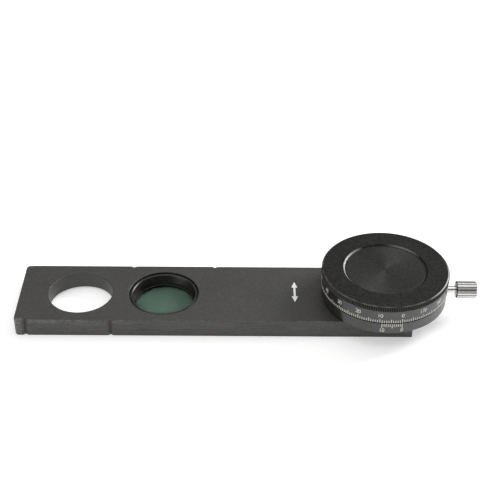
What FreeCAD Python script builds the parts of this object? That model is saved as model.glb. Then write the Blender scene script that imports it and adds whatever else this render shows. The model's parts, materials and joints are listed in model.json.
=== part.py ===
# Rotatable analyzer slider for a polarising microscope.
# A flat bar slides through a slot in the microscope. One round aperture in it is empty and
# the other holds a polarizer in a turning cell. A dial at the outer end turns the cell
# through a train of spur gears that runs in pockets under the bar, closed by a cover.
#
# Frame: millimetres, +Z up, Z = 0 on the underside of the bar. X = Y = 0 is the dial's axis.
# -X runs along the bar to its inner end, and +X points out along the lock screw.
import FreeCAD
import Part
import math
import os

# Bar
BAR_WIDTH = 30.0
BAR_THICKNESS = 6.4
BAR_OUTER_MARGIN = 8.5
BAR_CORNER_RADIUS = 1.5
BAR_END_LAND = 1.2
BAR_EDGE_BREAK = 0.2
APERTURE_SPACING = 28.0
APERTURE_RADIUS = 10.75
APERTURE_FLARE = 0.8
DETENT_OFFSET = 16.85
DETENT_HALF_WIDTH = 0.85
DETENT_DEPTH = 0.6
BAR_SKIN = 1.5

# Gear train, from the dial's pinion to the ring gear on the cell
GEAR_MODULE = 0.5
PINION_TEETH = 24
SIDE_IDLER_TEETH = 37
MIDDLE_IDLER_TEETH = 38
RING_TEETH = 48
PRESSURE_ANGLE = 20.0
TIP_HEIGHT_MODULES = 1.0
ROOT_DEPTH_MODULES = 1.25
BACKLASH = 0.08
POCKET_CLEARANCE = 0.5
GEAR_BOSS_HEIGHT = 0.4
IDLER_HUB_RADIUS = 2.5
IDLER_PIN_RADIUS = 1.0
IDLER_PIN_SKIN = 0.4
IDLER_PIN_RECESS = 0.1

# Running fits shared by all moving pieces
RUNNING_CLEARANCE = 0.05
AXIAL_PLAY = 0.05

# Bottom cover
COVER_THICKNESS = 1.0
COVER_RIM = 1.5
COVER_CORNER_RADIUS = 2.0
COVER_END_WALL = 2.0
COVER_SCREW_INSET = 1.9
COVER_SCREW_COLUMNS = 3
COVER_SCREW_HEAD_RADIUS = 1.5
COVER_SCREW_HEAD_HEIGHT = 0.7
COVER_SCREW_RADIUS = 0.8
COVER_SCREW_LENGTH = 3.6

# Analyzer cell and its glass
RING_GEAR_WALL = 0.475
CELL_WALL = 0.5
CELL_SHOULDER = 0.3
CELL_LIP_WIDTH = 0.8
CELL_LIP_THICKNESS = 0.35
CELL_TOP_RECESS = 0.45
CELL_BOTTOM_RECESS = 0.2
CELL_FLANGE_WIDTH = 1.0
CELL_FLANGE_THICKNESS = 0.7
CELL_WINDOW_GAP = 0.5
BEARING_RING_THICKNESS = 0.7
GLASS_CLEARANCE = 0.1
GLASS_THICKNESS = 0.45
FILM_THICKNESS = 0.2
RETAINER_HEIGHT = 0.8
RETAINER_SLOT_WIDTH = 1.0
RETAINER_SLOT_DEPTH = 0.4

# Index base under the dial
BASE_INSET = 0.2
BASE_HEIGHT = 4.2
BASE_EDGE_BREAK = 0.3
HUB_GAP = 0.3
BASE_SCREW_X = (-9.0, -0.5)
BASE_SCREW_Y = 12.4
BASE_SCREW_RADIUS = 1.0
BASE_SCREW_HEAD_RADIUS = 1.9
BASE_SCREW_HEAD_HEIGHT = 1.3
BASE_SCREW_SEAT = 1.8
BASE_SCREW_BITE = 2.4
SOCKET_RADIUS = 0.9
SOCKET_DEPTH = 0.8

# Spindle and what carries it
SPINDLE_RADIUS = 2.0
BUSH_WALL = 1.0
BUSH_FLANGE_RADIUS = 4.4
BUSH_FLANGE_THICKNESS = 0.4
WASHER_THICKNESS = 0.15
WASHER_WAVE = 0.15
WASHER_WAVES = 3
WASHER_RADIUS = 4.0
PINION_HUB_RADIUS = 3.8
CLIP_RADIUS = 3.0
CLIP_THICKNESS = 0.4
CLIP_GROOVE_DEPTH = 0.5
CLIP_MOUTH = 2.4
SPINDLE_END_LENGTH = 0.25

# Dial
DIAL_RADIUS = 21.2
DIAL_GAP = 0.2
SCALE_HEIGHT = 4.6
SCALE_INSET = 0.13
SCALE_WALL = 2.0
RIM_HEIGHT = 1.8
RIM_TOP_BREAK = 0.25
KNURL_GROOVES = 180
KNURL_DEPTH = 0.3
DIAL_SKIRT_WALL = 2.0
DIAL_HUB_RADIUS = 8.9
DIAL_PLATE = 2.2
DIAL_RECESS_RADIUS = 13.9
DIAL_RECESS_DEPTH = 0.5
DIAL_RECESS_SLOPE = 0.4
FACE_DISC_THICKNESS = 0.8
FACE_DISC_LEDGE = 0.25
DIAL_SCREW_RADIUS = 1.25
DIAL_SCREW_HEAD_RADIUS = 2.3
DIAL_SCREW_HEAD_HEIGHT = 1.2
DIAL_SCREW_HEAD_ROOM = 0.2
DIAL_SCREW_LENGTH = 5.6
SPINDLE_SEAT = 0.6

# Lock screw
LOCK_HEIGHT = 2.2
LOCK_SHANK_RADIUS = 1.18
PAD_LENGTH = 2.0
PAD_GAP = 0.05
LOCK_STANDOFF = 3.25
LOCK_HEAD_RADIUS = 2.85
LOCK_HEAD_LENGTH = 6.95
LOCK_HEAD_BREAK = 0.3
LOCK_RIDGES = 18
LOCK_RIDGE_DEPTH = 0.3

# Places along the bar, worked out from the gears
TRAIN_TEETH = (PINION_TEETH, SIDE_IDLER_TEETH, MIDDLE_IDLER_TEETH, SIDE_IDLER_TEETH, RING_TEETH)
TRAIN_X = [0.0]
TRAIN_PHASE = [180.0]
for teeth, next_teeth in zip(TRAIN_TEETH, TRAIN_TEETH[1:]):
    TRAIN_X.append(TRAIN_X[-1] - GEAR_MODULE * (teeth + next_teeth) / 2)
    # A tooth that stands past the line of centres meets a gap just as far past it.
    TRAIN_PHASE.append((180.0 - (TRAIN_PHASE[-1] - 180.0) * teeth) / next_teeth)
CELL_X = TRAIN_X[-1]
APERTURE_X = CELL_X - APERTURE_SPACING
BAR_LEFT = APERTURE_X - DETENT_OFFSET - DETENT_HALF_WIDTH - BAR_END_LAND - BAR_CORNER_RADIUS
BAR_RIGHT = BAR_OUTER_MARGIN

# Levels inside the bar
POCKET_BOTTOM = COVER_THICKNESS
POCKET_TOP = BAR_THICKNESS - BAR_SKIN
RUN_BOTTOM = POCKET_BOTTOM + AXIAL_PLAY
RUN_TOP = POCKET_TOP - AXIAL_PLAY
TEETH_BOTTOM = RUN_BOTTOM + GEAR_BOSS_HEIGHT
BEARING_BOTTOM = POCKET_TOP - BEARING_RING_THICKNESS
FLANGE_TOP = BEARING_BOTTOM - AXIAL_PLAY
TEETH_TOP = FLANGE_TOP - CELL_FLANGE_THICKNESS
POCKET_RADII = [GEAR_MODULE * (n / 2 + TIP_HEIGHT_MODULES) + POCKET_CLEARANCE for n in TRAIN_TEETH]

# Radii of the cell, stepped from the ring gear that is pressed on its journal
RING_ROOT_RADIUS = GEAR_MODULE * (RING_TEETH / 2 - ROOT_DEPTH_MODULES)
CELL_JOURNAL_RADIUS = RING_ROOT_RADIUS - RING_GEAR_WALL
CELL_RADIUS = CELL_JOURNAL_RADIUS + CELL_SHOULDER
CELL_FLANGE_RADIUS = CELL_RADIUS + CELL_FLANGE_WIDTH
CELL_WINDOW_RADIUS = CELL_RADIUS + CELL_WINDOW_GAP
CELL_BORE_RADIUS = CELL_JOURNAL_RADIUS - CELL_WALL
CELL_LIP_RADIUS = CELL_BORE_RADIUS - CELL_LIP_WIDTH
GLASS_RADIUS = CELL_BORE_RADIUS - GLASS_CLEARANCE

# Levels of the glass
CELL_BOTTOM = CELL_BOTTOM_RECESS
CELL_TOP = BAR_THICKNESS - CELL_TOP_RECESS
LOWER_GLASS_BOTTOM = CELL_BOTTOM + CELL_LIP_THICKNESS
FILM_BOTTOM = LOWER_GLASS_BOTTOM + GLASS_THICKNESS
UPPER_GLASS_BOTTOM = FILM_BOTTOM + FILM_THICKNESS
RETAINER_BOTTOM = UPPER_GLASS_BOTTOM + GLASS_THICKNESS

# Radii and levels above the bar
SCALE_RADIUS = DIAL_RADIUS - SCALE_INSET
BASE_RADIUS = SCALE_RADIUS - BASE_INSET
BASE_TOP = BAR_THICKNESS + BASE_HEIGHT
SCALE_BOTTOM = BASE_TOP + DIAL_GAP
RIM_BOTTOM = SCALE_BOTTOM + SCALE_HEIGHT
DIAL_TOP = RIM_BOTTOM + RIM_HEIGHT
FACE_TOP = DIAL_TOP - DIAL_RECESS_DEPTH
FACE_BOTTOM = FACE_TOP - FACE_DISC_THICKNESS
PLATE_BOTTOM = FACE_BOTTOM - DIAL_PLATE
FACE_RADIUS = DIAL_RECESS_RADIUS - DIAL_RECESS_SLOPE - FACE_DISC_LEDGE
BUSH_RADIUS = SPINDLE_RADIUS + RUNNING_CLEARANCE + BUSH_WALL
BUSH_TOP = BAR_THICKNESS + BUSH_FLANGE_THICKNESS
WASHER_TOP = BUSH_TOP + WASHER_THICKNESS + WASHER_WAVE
HUB_BOTTOM = WASHER_TOP + AXIAL_PLAY
WELL_RADIUS = DIAL_HUB_RADIUS + HUB_GAP
SCREW_SEAT_TOP = FACE_BOTTOM - DIAL_SCREW_HEAD_ROOM - DIAL_SCREW_HEAD_HEIGHT
SPINDLE_TOP = SCREW_SEAT_TOP - SPINDLE_SEAT
CLIP_BOTTOM = RUN_BOTTOM + SPINDLE_END_LENGTH
CLIP_TOP = CLIP_BOTTOM + CLIP_THICKNESS

# Lock screw, along X
LOCK_Z = BAR_THICKNESS + LOCK_HEIGHT
PAD_TIP_X = DIAL_HUB_RADIUS + PAD_GAP
PAD_END_X = PAD_TIP_X + PAD_LENGTH
LOCK_HEAD_X = BASE_RADIUS + LOCK_STANDOFF
LOCK_END_X = LOCK_HEAD_X + LOCK_HEAD_LENGTH

# Cover
COVER_HALF_WIDTH = BAR_WIDTH / 2 - COVER_RIM
COVER_LEFT = CELL_X - POCKET_RADII[-1] - COVER_END_WALL
COVER_RIGHT = BAR_RIGHT - COVER_RIM


def point(x, y, z=0.0):
    return FreeCAD.Vector(x, y, z)


def polar(radius, angle, z=0.0, x=0.0):
    turn = math.radians(angle)
    return point(x + radius * math.cos(turn), radius * math.sin(turn), z)


def disc(radius, bottom, top, x=0.0, y=0.0):
    return Part.makeCylinder(radius, top - bottom, point(x, y, bottom))


def ring(outer, inner, bottom, top, x=0.0, y=0.0):
    return disc(outer, bottom, top, x, y).cut(disc(inner, bottom, top, x, y))


def prism(corners, bottom, top):
    outline = [point(x, y, bottom) for x, y in corners]
    face = Part.Face(Part.makePolygon(outline + outline[:1]))
    return face.extrude(point(0, 0, top - bottom))


def turned(profile, x=0.0):
    """Solid of revolution about the vertical line at x, from (radius, height) corners."""
    outline = [point(x + radius, 0, z) for radius, z in profile]
    face = Part.Face(Part.makePolygon(outline + outline[:1]))
    return face.revolve(point(x, 0, 0), point(0, 0, 1), 360)


def rod(radius, start, end):
    """Round bar along the lock screw's axis."""
    return Part.makeCylinder(radius, end - start, point(start, 0, LOCK_Z), point(1, 0, 0))


def save(node, shape):
    shape.exportStep("parts/" + node + ".step")


def involute_angle(radius, base_radius):
    angle = math.acos(base_radius / radius)
    return math.degrees(math.tan(angle) - angle)


def spur_teeth(index, bottom, top):
    """Toothed disc of one gear of the train, each flank two facets through points of its involute."""
    teeth = TRAIN_TEETH[index]
    pitch_radius = GEAR_MODULE * teeth / 2
    tip_radius = pitch_radius + GEAR_MODULE * TIP_HEIGHT_MODULES
    root_radius = pitch_radius - GEAR_MODULE * ROOT_DEPTH_MODULES
    base_radius = pitch_radius * math.cos(math.radians(PRESSURE_ANGLE))
    pitch_half = 90.0 / teeth - math.degrees(BACKLASH / 4 / pitch_radius)
    at_base = pitch_half + involute_angle(pitch_radius, base_radius)
    tip_half = at_base - involute_angle(tip_radius, base_radius)
    root_half = at_base - involute_angle(max(root_radius, base_radius), base_radius)
    flank = [(root_radius, root_half), (pitch_radius, pitch_half), (tip_radius, tip_half)]
    outline = [(radius, -half) for radius, half in flank]
    outline += [(radius, half) for radius, half in reversed(flank)]
    corners = []
    for tooth in range(teeth):
        middle = TRAIN_PHASE[index] + tooth * 360.0 / teeth
        corners += [polar(radius, middle + offset, bottom, TRAIN_X[index]) for radius, offset in outline]
    face = Part.Face(Part.makePolygon(corners + corners[:1]))
    return face.extrude(point(0, 0, top - bottom))


def gear_pockets():
    """Overlapping round pockets that the gears run in, milled from below."""
    pockets = [disc(radius, POCKET_BOTTOM, POCKET_TOP, x) for radius, x in zip(POCKET_RADII, TRAIN_X)]
    return pockets[0].multiFuse(pockets[1:])


def cover_outline(height):
    """Plate with rounded corners that closes the pockets, flush with the underside."""
    length = COVER_RIGHT - COVER_LEFT
    corner = point(COVER_LEFT, -COVER_HALF_WIDTH, 0)
    plate = Part.makeBox(length, 2 * COVER_HALF_WIDTH, height, corner)
    upright = [edge for edge in plate.Edges
               if abs(edge.Vertexes[0].Z - edge.Vertexes[1].Z) > height / 2]
    return plate.makeFillet(COVER_CORNER_RADIUS, upright)


def cover_screw_places():
    first = COVER_LEFT + COVER_SCREW_INSET
    last = COVER_RIGHT - COVER_SCREW_INSET
    step = (last - first) / (COVER_SCREW_COLUMNS - 1)
    offset = COVER_HALF_WIDTH - COVER_SCREW_INSET
    return [(first + column * step, side * offset)
            for column in range(COVER_SCREW_COLUMNS) for side in (-1, 1)]


def cover_screw(x, y):
    """Countersunk screw put in from below, its head flush with the cover."""
    neck = COVER_SCREW_HEAD_HEIGHT
    head = Part.makeCone(COVER_SCREW_HEAD_RADIUS, COVER_SCREW_RADIUS, neck, point(x, y, 0))
    return head.fuse(disc(COVER_SCREW_RADIUS, neck, COVER_SCREW_LENGTH, x, y))


def hex_socket(top, x=0.0, y=0.0):
    corners = [polar(SOCKET_RADIUS, 60 * side) for side in range(6)]
    return prism([(x + corner.x, y + corner.y) for corner in corners], top - SOCKET_DEPTH, top)


def base_screw_places():
    return [(x, side * BASE_SCREW_Y) for x in BASE_SCREW_X for side in (-1, 1)]


def base_screw(x, y):
    """Socket head screw that holds the index base down on the bar."""
    seat = BAR_THICKNESS + BASE_SCREW_SEAT
    top = seat + BASE_SCREW_HEAD_HEIGHT
    shank = disc(BASE_SCREW_RADIUS, BAR_THICKNESS - BASE_SCREW_BITE, seat, x, y)
    head = disc(BASE_SCREW_HEAD_RADIUS, seat, top, x, y)
    return head.fuse(shank).cut(hex_socket(top, x, y))


def bar_blank():
    """Bar with round corners at its inner end, V notches on both long edges and broken edges."""
    half = BAR_WIDTH / 2
    reach = DETENT_HALF_WIDTH
    corners = [(BAR_LEFT, half), (BAR_LEFT, -half)]
    for x in (APERTURE_X - DETENT_OFFSET, CELL_X - DETENT_OFFSET):
        corners += [(x - reach, -half), (x, DETENT_DEPTH - half), (x + reach, -half)]
    corners += [(BAR_RIGHT, -half), (BAR_RIGHT, half)]
    for x in (CELL_X + DETENT_OFFSET, APERTURE_X + DETENT_OFFSET):
        corners += [(x + reach, half), (x, half - DETENT_DEPTH), (x - reach, half)]
    bar = prism(corners, 0, BAR_THICKNESS)
    upright = [edge for edge in bar.Edges if edge.BoundBox.ZLength > BAR_SKIN]
    inner_end = [edge for edge in upright if edge.BoundBox.XMax < BAR_LEFT + BAR_CORNER_RADIUS]
    bar = bar.makeFillet(BAR_CORNER_RADIUS, inner_end)
    outline = [edge for edge in bar.Edges if edge.BoundBox.ZLength < BAR_SKIN]
    return bar.makeChamfer(BAR_EDGE_BREAK, outline)


def slider_bar():
    rim = BAR_THICKNESS - BAR_EDGE_BREAK
    cuts = [disc(APERTURE_RADIUS, 0, BAR_THICKNESS, APERTURE_X)]
    cuts.append(disc(CELL_WINDOW_RADIUS, POCKET_TOP, BAR_THICKNESS, CELL_X))
    for radius, x in ((APERTURE_RADIUS, APERTURE_X), (CELL_WINDOW_RADIUS, CELL_X)):
        cuts.append(Part.makeCone(radius, radius + BAR_EDGE_BREAK, BAR_EDGE_BREAK, point(x, 0, rim)))
    cuts.append(Part.makeCone(APERTURE_RADIUS + APERTURE_FLARE, APERTURE_RADIUS, APERTURE_FLARE,
                              point(APERTURE_X, 0, 0)))
    cuts.append(gear_pockets())
    cuts.append(cover_outline(COVER_THICKNESS))
    cuts.append(disc(BUSH_RADIUS, POCKET_TOP, BAR_THICKNESS))
    for x in TRAIN_X[1:-1]:
        cuts.append(disc(IDLER_PIN_RADIUS, POCKET_TOP, BAR_THICKNESS - IDLER_PIN_SKIN, x))
    for x, y in cover_screw_places():
        cuts.append(disc(COVER_SCREW_RADIUS, COVER_THICKNESS, COVER_SCREW_LENGTH, x, y))
    for x, y in base_screw_places():
        cuts.append(disc(BASE_SCREW_RADIUS, BAR_THICKNESS - BASE_SCREW_BITE, BAR_THICKNESS, x, y))
    return bar_blank().cut(cuts)


def bottom_cover():
    plate = cover_outline(COVER_THICKNESS)
    cuts = [disc(CELL_JOURNAL_RADIUS + RUNNING_CLEARANCE, 0, COVER_THICKNESS, CELL_X)]
    cuts += [disc(IDLER_PIN_RADIUS, 0, COVER_THICKNESS, x) for x in TRAIN_X[1:-1]]
    cuts += [cover_screw(x, y) for x, y in cover_screw_places()]
    return plate.cut(cuts)


def idler_pins():
    top = BAR_THICKNESS - IDLER_PIN_SKIN
    return Part.makeCompound([disc(IDLER_PIN_RADIUS, IDLER_PIN_RECESS, top, x) for x in TRAIN_X[1:-1]])


def idler_gear(index):
    """Idler with a long hub that runs on its pin between the cover and the bar."""
    x = TRAIN_X[index]
    gear = spur_teeth(index, TEETH_BOTTOM, TEETH_TOP)
    gear = gear.fuse(disc(IDLER_HUB_RADIUS, RUN_BOTTOM, RUN_TOP, x))
    return gear.cut(disc(IDLER_PIN_RADIUS + RUNNING_CLEARANCE, RUN_BOTTOM, RUN_TOP, x))


def analyzer_cell():
    """Turned tube: lip below the glass, journal, flange under the bearing ring, open rim."""
    profile = [(CELL_LIP_RADIUS, CELL_BOTTOM), (CELL_JOURNAL_RADIUS, CELL_BOTTOM),
               (CELL_JOURNAL_RADIUS, TEETH_TOP), (CELL_FLANGE_RADIUS, TEETH_TOP),
               (CELL_FLANGE_RADIUS, FLANGE_TOP), (CELL_RADIUS, FLANGE_TOP),
               (CELL_RADIUS, CELL_TOP), (CELL_BORE_RADIUS, CELL_TOP),
               (CELL_BORE_RADIUS, LOWER_GLASS_BOTTOM), (CELL_LIP_RADIUS, LOWER_GLASS_BOTTOM)]
    return turned(profile, CELL_X)


def cell_ring_gear():
    """Ring gear pressed on the cell's journal, with a low boss that runs on the cover."""
    gear = spur_teeth(len(TRAIN_TEETH) - 1, TEETH_BOTTOM, TEETH_TOP)
    gear = gear.fuse(disc(RING_ROOT_RADIUS, RUN_BOTTOM, TEETH_BOTTOM, CELL_X))
    return gear.cut(disc(CELL_JOURNAL_RADIUS, RUN_BOTTOM, TEETH_TOP, CELL_X))


def cell_bearing_ring():
    bore = CELL_RADIUS + RUNNING_CLEARANCE
    return ring(POCKET_RADII[-1], bore, BEARING_BOTTOM, POCKET_TOP, CELL_X)


def glass_retainer():
    """Threaded ring that holds the glass down, with two slots for a spanner."""
    top = RETAINER_BOTTOM + RETAINER_HEIGHT
    body = ring(CELL_BORE_RADIUS, CELL_LIP_RADIUS, RETAINER_BOTTOM, top, CELL_X)
    slot = Part.makeBox(2 * CELL_RADIUS, RETAINER_SLOT_WIDTH, RETAINER_SLOT_DEPTH,
                        point(CELL_X - CELL_RADIUS, -RETAINER_SLOT_WIDTH / 2, top - RETAINER_SLOT_DEPTH))
    return body.cut(slot)


def index_base():
    """Fixed ring on top of the bar that carries the vernier, with a well for the dial's hub."""
    low = BAR_THICKNESS
    outer = BASE_RADIUS
    break_ = BASE_EDGE_BREAK
    base = turned([(WELL_RADIUS, low), (outer - break_, low), (outer, low + break_),
                   (outer, BASE_TOP), (WELL_RADIUS, BASE_TOP)])
    cuts = [rod(LOCK_SHANK_RADIUS + RUNNING_CLEARANCE, 0, BASE_RADIUS)]
    for x, y in base_screw_places():
        cuts.append(disc(BASE_SCREW_RADIUS, low, low + BASE_SCREW_SEAT, x, y))
        cuts.append(disc(BASE_SCREW_HEAD_RADIUS, low + BASE_SCREW_SEAT, BASE_TOP, x, y))
    return base.cut(cuts)


def spindle_bush():
    flange = disc(BUSH_FLANGE_RADIUS, BAR_THICKNESS, BUSH_TOP)
    body = disc(BUSH_RADIUS, POCKET_TOP, BAR_THICKNESS).fuse(flange)
    return body.cut(disc(SPINDLE_RADIUS + RUNNING_CLEARANCE, POCKET_TOP, BUSH_TOP))


def wave_washer():
    """Spring washer whose rim goes up and down, three waves in a turn."""
    middle = BUSH_TOP + WASHER_WAVE / 2
    steps = 12 * WASHER_WAVES
    outer = WASHER_RADIUS
    inner = SPINDLE_RADIUS + 2 * RUNNING_CLEARANCE
    lower = []
    for step in range(steps):
        angle = step * 360.0 / steps
        height = middle - WASHER_WAVE / 2 * math.cos(math.radians(angle * WASHER_WAVES))
        lower.append([polar(inner, angle, height), polar(outer, angle, height)])
    lift = point(0, 0, WASHER_THICKNESS)
    faces = []
    for here, there in zip(lower, lower[1:] + lower[:1]):
        quad = [here[0], here[1], there[1], there[0]]
        faces += split_quad(quad)
        faces += split_quad([corner + lift for corner in reversed(quad)])
        faces += split_quad([here[1], here[1] + lift, there[1] + lift, there[1]])
        faces += split_quad([there[0], there[0] + lift, here[0] + lift, here[0]])
    return Part.makeSolid(Part.makeShell(faces))


def split_quad(quad):
    first = Part.Face(Part.makePolygon([quad[0], quad[1], quad[2], quad[0]]))
    second = Part.Face(Part.makePolygon([quad[0], quad[2], quad[3], quad[0]]))
    return [first, second]


def spindle():
    """Steel spindle from the pinion to the dial, grooved for its clip and tapped on top."""
    groove = SPINDLE_RADIUS - CLIP_GROOVE_DEPTH
    body = turned([(0, RUN_BOTTOM), (SPINDLE_RADIUS, RUN_BOTTOM), (SPINDLE_RADIUS, CLIP_BOTTOM),
                   (groove, CLIP_BOTTOM), (groove, CLIP_TOP), (SPINDLE_RADIUS, CLIP_TOP),
                   (SPINDLE_RADIUS, SPINDLE_TOP), (0, SPINDLE_TOP)])
    return body.cut(disc(DIAL_SCREW_RADIUS, SCREW_SEAT_TOP - DIAL_SCREW_LENGTH, SPINDLE_TOP))


def dial_pinion():
    """Pinion fixed on the spindle, its hub under the bar and its lower face sunk for the clip."""
    gear = spur_teeth(0, TEETH_BOTTOM, TEETH_TOP).fuse(disc(PINION_HUB_RADIUS, TEETH_TOP, RUN_TOP))
    gear = gear.cut(disc(SPINDLE_RADIUS, TEETH_BOTTOM, RUN_TOP))
    return gear.cut(disc(CLIP_RADIUS + RUNNING_CLEARANCE, TEETH_BOTTOM, CLIP_TOP))


def spindle_clip():
    """Open retaining ring snapped into the spindle's groove."""
    body = ring(CLIP_RADIUS, SPINDLE_RADIUS - CLIP_GROOVE_DEPTH, CLIP_BOTTOM, CLIP_TOP)
    mouth = Part.makeBox(CLIP_RADIUS, CLIP_MOUTH, CLIP_THICKNESS, point(0, -CLIP_MOUTH / 2, CLIP_BOTTOM))
    return body.cut(mouth)


def knurled_rim():
    """Straight knurl round the dial's edge: shallow V grooves, one beside the other."""
    corners = []
    for groove in range(KNURL_GROOVES):
        angle = groove * 360.0 / KNURL_GROOVES
        ridge = polar(DIAL_RADIUS, angle)
        valley = polar(DIAL_RADIUS - KNURL_DEPTH, angle + 180.0 / KNURL_GROOVES)
        corners += [(ridge.x, ridge.y), (valley.x, valley.y)]
    return prism(corners, RIM_BOTTOM, DIAL_TOP - RIM_TOP_BREAK)


def dial_wheel():
    """Hand dial: knurled rim, dished top, skirt inside the scale ring and a hub in the base."""
    skirt_outer = SCALE_RADIUS - SCALE_WALL
    skirt_inner = skirt_outer - DIAL_SKIRT_WALL
    land = DIAL_RADIUS - KNURL_DEPTH
    break_low = DIAL_TOP - RIM_TOP_BREAK
    recess_floor = DIAL_RECESS_RADIUS - DIAL_RECESS_SLOPE
    profile = [(SPINDLE_RADIUS, HUB_BOTTOM), (DIAL_HUB_RADIUS, HUB_BOTTOM),
               (DIAL_HUB_RADIUS, PLATE_BOTTOM),
               (skirt_inner, PLATE_BOTTOM), (skirt_inner, SCALE_BOTTOM), (skirt_outer, SCALE_BOTTOM),
               (skirt_outer, break_low), (land, break_low), (land - RIM_TOP_BREAK, DIAL_TOP),
               (DIAL_RECESS_RADIUS, DIAL_TOP), (recess_floor, FACE_TOP), (FACE_RADIUS, FACE_TOP),
               (FACE_RADIUS, FACE_BOTTOM), (DIAL_SCREW_HEAD_RADIUS + DIAL_SCREW_HEAD_ROOM, FACE_BOTTOM),
               (DIAL_SCREW_HEAD_RADIUS + DIAL_SCREW_HEAD_ROOM, SCREW_SEAT_TOP),
               (DIAL_SCREW_RADIUS, SCREW_SEAT_TOP), (DIAL_SCREW_RADIUS, SPINDLE_TOP),
               (SPINDLE_RADIUS, SPINDLE_TOP)]
    collar = knurled_rim().cut(disc(skirt_outer, RIM_BOTTOM, break_low))
    return turned(profile).fuse(collar)


def scale_ring():
    return ring(SCALE_RADIUS, SCALE_RADIUS - SCALE_WALL, SCALE_BOTTOM, RIM_BOTTOM)


def dial_screw():
    top = SCREW_SEAT_TOP + DIAL_SCREW_HEAD_HEIGHT
    shank = disc(DIAL_SCREW_RADIUS, SCREW_SEAT_TOP - DIAL_SCREW_LENGTH, SCREW_SEAT_TOP)
    head = disc(DIAL_SCREW_HEAD_RADIUS, SCREW_SEAT_TOP, top).fuse(shank)
    return head.cut(hex_socket(top))


def clamp_pad():
    """Brass slug between the screw's point and the dial's hub."""
    return rod(LOCK_SHANK_RADIUS, PAD_TIP_X, PAD_END_X)


def lock_screw():
    """Thumbscrew with a ridged head; ridges and valleys are flat, as a coarse knurl cuts them."""
    corners = []
    pitch = 360.0 / LOCK_RIDGES
    valley_radius = LOCK_HEAD_RADIUS - LOCK_RIDGE_DEPTH
    for ridge in range(LOCK_RIDGES):
        start = ridge * pitch
        for share, radius in ((0.0, valley_radius), (0.3, valley_radius), (0.5, LOCK_HEAD_RADIUS),
                              (0.8, LOCK_HEAD_RADIUS)):
            corner = polar(radius, start + share * pitch)
            corners.append(point(LOCK_HEAD_X, corner.x, LOCK_Z + corner.y))
    head = Part.Face(Part.makePolygon(corners + corners[:1])).extrude(point(LOCK_HEAD_LENGTH, 0, 0))
    small = LOCK_HEAD_RADIUS - LOCK_HEAD_BREAK
    outline = [point(LOCK_HEAD_X, 0, LOCK_Z), point(LOCK_HEAD_X, 0, LOCK_Z + small),
               point(LOCK_HEAD_X + LOCK_HEAD_BREAK, 0, LOCK_Z + LOCK_HEAD_RADIUS),
               point(LOCK_END_X - LOCK_HEAD_BREAK, 0, LOCK_Z + LOCK_HEAD_RADIUS),
               point(LOCK_END_X, 0, LOCK_Z + small), point(LOCK_END_X, 0, LOCK_Z)]
    envelope = Part.Face(Part.makePolygon(outline + outline[:1]))
    envelope = envelope.revolve(point(0, 0, LOCK_Z), point(1, 0, 0), 360)
    return head.common(envelope).fuse(rod(LOCK_SHANK_RADIUS, PAD_END_X, LOCK_HEAD_X))


def build():
    os.makedirs("parts", exist_ok=True)
    save("slider_bar", slider_bar())
    save("bottom_cover", bottom_cover())
    save("cover_screws", Part.makeCompound([cover_screw(x, y) for x, y in cover_screw_places()]))
    save("idler_pins", idler_pins())
    for index in (1, 2, 3):
        save("idler_gear_" + str(index), idler_gear(index))
    save("analyzer_cell", analyzer_cell())
    save("cell_ring_gear", cell_ring_gear())
    save("cell_bearing_ring", cell_bearing_ring())
    save("lower_glass", disc(GLASS_RADIUS, LOWER_GLASS_BOTTOM, FILM_BOTTOM, CELL_X))
    save("polarizer_film", disc(GLASS_RADIUS, FILM_BOTTOM, UPPER_GLASS_BOTTOM, CELL_X))
    save("upper_glass", disc(GLASS_RADIUS, UPPER_GLASS_BOTTOM, RETAINER_BOTTOM, CELL_X))
    save("glass_retainer", glass_retainer())
    save("index_base", index_base())
    save("base_screws", Part.makeCompound([base_screw(x, y) for x, y in base_screw_places()]))
    save("spindle_bush", spindle_bush())
    save("wave_washer", wave_washer())
    save("spindle", spindle())
    save("dial_pinion", dial_pinion())
    save("spindle_clip", spindle_clip())
    save("dial_wheel", dial_wheel())
    save("scale_ring", scale_ring())
    save("dial_face_disc", disc(FACE_RADIUS, FACE_BOTTOM, FACE_TOP))
    save("dial_screw", dial_screw())
    save("clamp_pad", clamp_pad())
    save("lock_screw", lock_screw())


build()
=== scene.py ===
import json
import math
import bmesh
import bpy
from mathutils import Matrix, Vector


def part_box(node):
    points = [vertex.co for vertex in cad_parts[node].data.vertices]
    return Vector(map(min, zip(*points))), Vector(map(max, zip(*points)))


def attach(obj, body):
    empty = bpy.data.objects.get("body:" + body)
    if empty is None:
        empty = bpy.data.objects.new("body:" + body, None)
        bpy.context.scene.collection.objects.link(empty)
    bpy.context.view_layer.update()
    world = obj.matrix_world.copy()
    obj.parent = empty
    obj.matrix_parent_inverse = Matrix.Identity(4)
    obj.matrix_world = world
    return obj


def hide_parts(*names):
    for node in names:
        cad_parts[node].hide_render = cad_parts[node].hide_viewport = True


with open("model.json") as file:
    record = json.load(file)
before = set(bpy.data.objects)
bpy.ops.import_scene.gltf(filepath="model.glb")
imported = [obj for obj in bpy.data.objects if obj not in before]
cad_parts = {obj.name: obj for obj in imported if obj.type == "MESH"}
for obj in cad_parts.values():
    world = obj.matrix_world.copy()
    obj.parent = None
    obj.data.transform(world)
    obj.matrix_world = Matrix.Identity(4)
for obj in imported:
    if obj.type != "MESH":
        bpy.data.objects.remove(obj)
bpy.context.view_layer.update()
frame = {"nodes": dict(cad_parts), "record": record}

# Table, light and camera.
# The part lies on a plain white table. Soft light comes from all round and mostly from above,
# with one wide lamp over it, one behind it on the right and a weak one on the left. The
# camera looks down from the front.
mm = 0.001
table_size = 6.0
table_gap = 0.02 * mm
table_glow_near = 0.45
table_glow_from, table_glow_to = 0.4, 1.5
camera_target = Vector((-44.98, 34.03, 0)) * mm
camera_distance = 421.2 * mm
camera_elevation = math.radians(35.563)
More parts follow.
